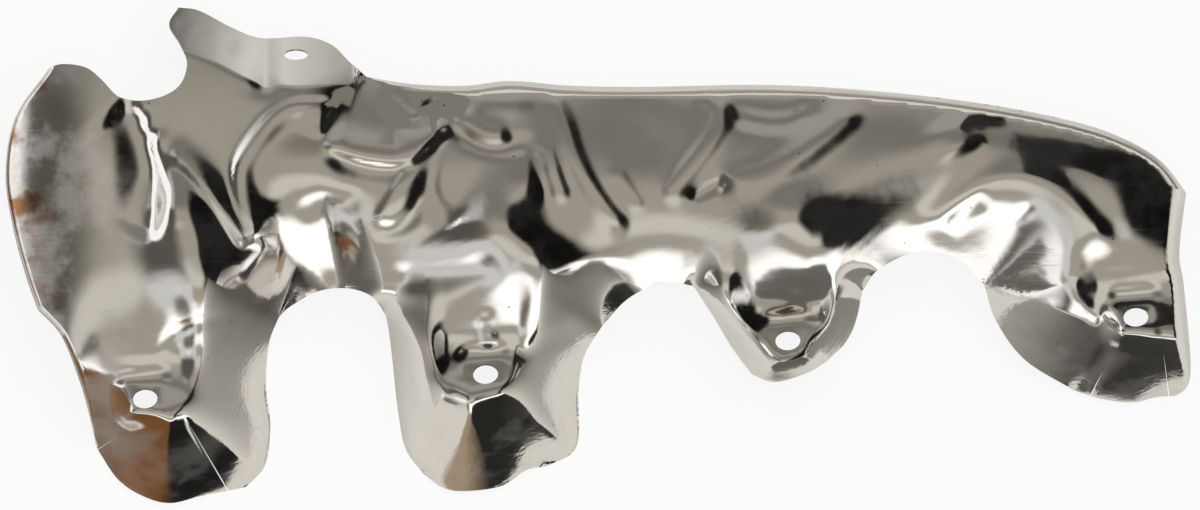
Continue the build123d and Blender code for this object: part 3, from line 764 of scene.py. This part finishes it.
def lay_floor():
    mesh = bpy.data.meshes.new("floor")
    far = floor_reach * MM
    mesh.from_pydata([(-far, -far, 0), (far, -far, 0), (far, far, 0), (-far, far, 0)], [], [(0, 1, 2, 3)])
    mesh.materials.append(white_paper())
    add_object("floor", mesh)


# The studio round the shield: the directions where each drape or lamp starts and is full, and its colour
STUDIO = [
    # Pale fill high in front
    ([("Y", -0.1, -0.4), ("Z", 0.7, 0.82)], linear("#D6D3CA")),
    # Dark drape at the tab end, grey one behind the top wall and black one at the plain end
    ([("X", -0.22, -0.65)], linear("#595650")),
    ([("Y", 0.25, 0.7)], linear("#7E7B75")),
    ([("X", 0.2, 0.44), ("Y", -0.78, -0.52)], linear("#131211")),
    # Pale wall low at the plain end
    ([("X", 0.6, 0.8), ("Z", 0.36, 0.16)], linear("#BDBAB3")),
    # Softbox low in front of the lobes, and a weaker one above it towards the tab end
    ([("Y", -0.42, -0.72), ("X", -0.52, -0.28), ("Z", 0.0, 0.14), ("Z", 0.54, 0.38)], [1.4, 1.4, 1.4, 1]),
    ([("X", -0.2, -0.42), ("Y", -0.35, -0.6), ("Z", 0.3, 0.42)], [0.7, 0.7, 0.7, 1]),
    # Weak lamp behind the tab and a bright one low at the tab end
    ([("X", -0.35, -0.6), ("Y", 0.3, 0.55), ("Z", 0.2, 0.4)], [0.5, 0.5, 0.5, 1]),
    ([("X", -0.55, -0.8), ("Z", 0.52, 0.38)], [1.2, 1.2, 1.2, 1]),
    # Paler wall low behind the top wall
    ([("Y", 0.76, 0.94)], linear("#A3A09A")),
]


def studio_world():
    """A grey room with the studio's drapes and lamps, which the steel reflects, plain white to the camera."""
    world = bpy.data.worlds.new("studio")
    bpy.context.scene.world = world
    world.use_nodes = True
    tree = world.node_tree
    tree.nodes.clear()
    toward = add_node(tree, "ShaderNodeTexCoord").outputs["Generated"]
    split = add_node(tree, "ShaderNodeSeparateXYZ", inputs={"Vector": toward}).outputs
    room = linear("#A9A59B")
    for bands, colour in STUDIO:
        share = 1.0
        for axis, start, end in bands:
            band = add_node(tree, "ShaderNodeMapRange", SMOOTH, {
                "Value": split[axis], "From Min": start, "From Max": end}).outputs[0]
            share = add_node(tree, "ShaderNodeMath", TIMES, {0: share, 1: band}).outputs[0]
        room = add_node(tree, "ShaderNodeMix", COLOUR, {
            "Factor": share, MIX_A: room, MIX_B: colour}).outputs[MIX_RESULT]
    seen = add_node(tree, "ShaderNodeLightPath").outputs["Is Camera Ray"]
    room = add_node(tree, "ShaderNodeMix", COLOUR, {
        "Factor": seen, MIX_A: room, MIX_B: linear("#FFFFFF")}).outputs[MIX_RESULT]
    light = add_node(tree, "ShaderNodeBackground", inputs={"Color": room})
    add_node(tree, "ShaderNodeOutputWorld", inputs={"Surface": light.outputs[0]})


class Card(NamedTuple):
    """A card near the shield: its two ends seen from above, its top, one colour or a blend, and its foot."""

    name: str
    start: tuple
    end: tuple
    top: float
    colour: str
    end_colour: str = None
    foot: float = 0.0


# Brown, black and pale cards before the lobes, in the arches and at the ends, grey ones behind the top
CARDS = [
    Card("brown_card_lobe_1_side", (-187, -30), (-177, -64), 48, "#6E5138", "#8A6A4A"),
    Card("grey_card_lobe_1_corner", (-177, -64), (-166, -82), 62, "#8A8178", "#7A5230"),
    Card("brown_card_lobe_1", (-166, -82), (-153, -89), 62, "#7A5230"),
    Card("blended_card_lobe_1", (-153, -89), (-144, -90), 62, "#7A5230", "#1E1D1C"),
    Card("black_card_lobe_1", (-144, -90), (-108, -88), 62, "#1E1D1C"),
    Card("pale_card_lobe_2", (-64, -86), (-57, -86), 50, "#C8C4BC", "#A8957C"),
    Card("brown_card_lobe_2", (-57, -86), (-46, -86), 50, "#A8957C"),
    Card("blended_card_lobe_2", (-46, -86), (-36, -86), 50, "#A8957C", "#2A2927"),
    Card("black_card_lobe_2", (-36, -86), (5, -82), 62, "#2A2927"),
    Card("pale_card_arch_1", (-106, -85), (-104, -22), 110, "#E2DFD8", "#57544E"),
    Card("pale_card_arch_2", (6, -80), (8, -26), 110, "#E2DFD8", "#6A675F"),
    Card("dark_card_lobe_3", (44, -58), (92, -52), 74, "#686560"),
    Card("black_card_lobe_4", (165, -57), (215, -57), 62, "#3A3936"),
    Card("grey_card_lobe_4", (126, -36), (166, -60), 40, "#A5A29C", "#3A3835"),
    Card("grey_card_lobe_3", (98, -20), (90, -48), 40, "#8C8983"),
    Card("brown_card_tab_end", (-222, -30), (-222, 45), 40, "#6A5644"),
    Card("grey_card_tab_left", (-150, 95), (-108, 89), 60, "#1C1B1A", "#E2DFD9"),
    Card("grey_card_tab_right", (-108, 89), (-68, 78), 60, "#E2DFD9", "#85827C"),
    Card("grey_card_tab_corner", (-68, 80), (-50, 66), 80, "#85827C"),
    Card("grey_card_top_middle", (-66, 64), (62, 63), 45, "#A5A19A"),
    Card("grey_card_top_end", (62, 63), (168, 50), 45, "#A5A19A", "#8A867F"),
    Card("grey_card_top_corner", (168, 50), (207, 24), 45, "#8A867F"),
    Card("black_card_plain_end", (148, 80), (275, 80), 128, "#1B1A19", foot=80),
    Card("black_card_dent", (133, 80), (144, 80), 77, "#1B1A19", foot=58),
]


def painted_card(card):
    """Matt painted card, evenly lit, in one colour or blended from its start to its end along X."""
    material, tree = new_material(card.name)
    colour = linear(card.colour)
    if card.end_colour:
        along = add_node(tree, "ShaderNodeTexCoord").outputs["Generated"]
        share = add_node(tree, "ShaderNodeSeparateXYZ", inputs={"Vector": along}).outputs["X"]
        colour = add_node(tree, "ShaderNodeMix", COLOUR, {
            "Factor": share, MIX_A: colour, MIX_B: linear(card.end_colour)}).outputs[MIX_RESULT]
    paint = add_node(tree, "ShaderNodeEmission", inputs={"Color": colour})
    add_node(tree, "ShaderNodeOutputMaterial", inputs={"Surface": paint.outputs[0]})
    return material


def stand_card(card):
    """Stands a card on the floor or hangs it above, where only the steel's reflections show it."""
    plan = [card.start, card.end, card.end, card.start]
    heights = [card.foot, card.foot, card.top, card.top]
    corners = np.column_stack([plan, heights]) * MM
    mesh = bpy.data.meshes.new(card.name)
    mesh.from_pydata(corners.tolist(), [], [(0, 1, 2, 3)])
    mesh.materials.append(painted_card(card))
    standing = add_object(card.name, mesh)
    standing.visible_camera = False
    standing.visible_diffuse = False
    standing.visible_shadow = False


def hang_softbox():
    """A round softbox overhead, which lights the floor and the haze but isn't seen in the steel."""
    lamp = bpy.data.lights.new("overhead_softbox", "AREA")
    lamp.shape = "DISK"
    lamp.size = lamp_diameter * MM
    lamp.energy = lamp_watts
    softbox = add_object("overhead_softbox", lamp)
    softbox.location = Vector(lamp_place) * MM
    softbox.rotation_euler = (-softbox.location).to_track_quat("-Z", "Y").to_euler()
    softbox.visible_glossy = False


def place_camera():
    """The camera looks straight down on the face, from far away."""
    data = bpy.data.cameras.new("camera")
    data.sensor_width = sensor_width
    data.lens = sensor_width * camera_distance / view_width
    data.clip_end = 100
    camera = add_object("camera", data)
    camera.location = (Vector(view_middle) + Vector((0, 0, camera_distance))) * MM
    bpy.context.scene.camera = camera


shield = shield_sheet("heat_shield_sheet")
shield.data.materials.append(bright_rolled_steel())
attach(shield, "root")
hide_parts("heat_shield")

studio_world()
lay_floor()
for card in CARDS:
    stand_card(card)
hang_softbox()
place_camera()
bpy.context.scene.view_settings.view_transform = "Standard"
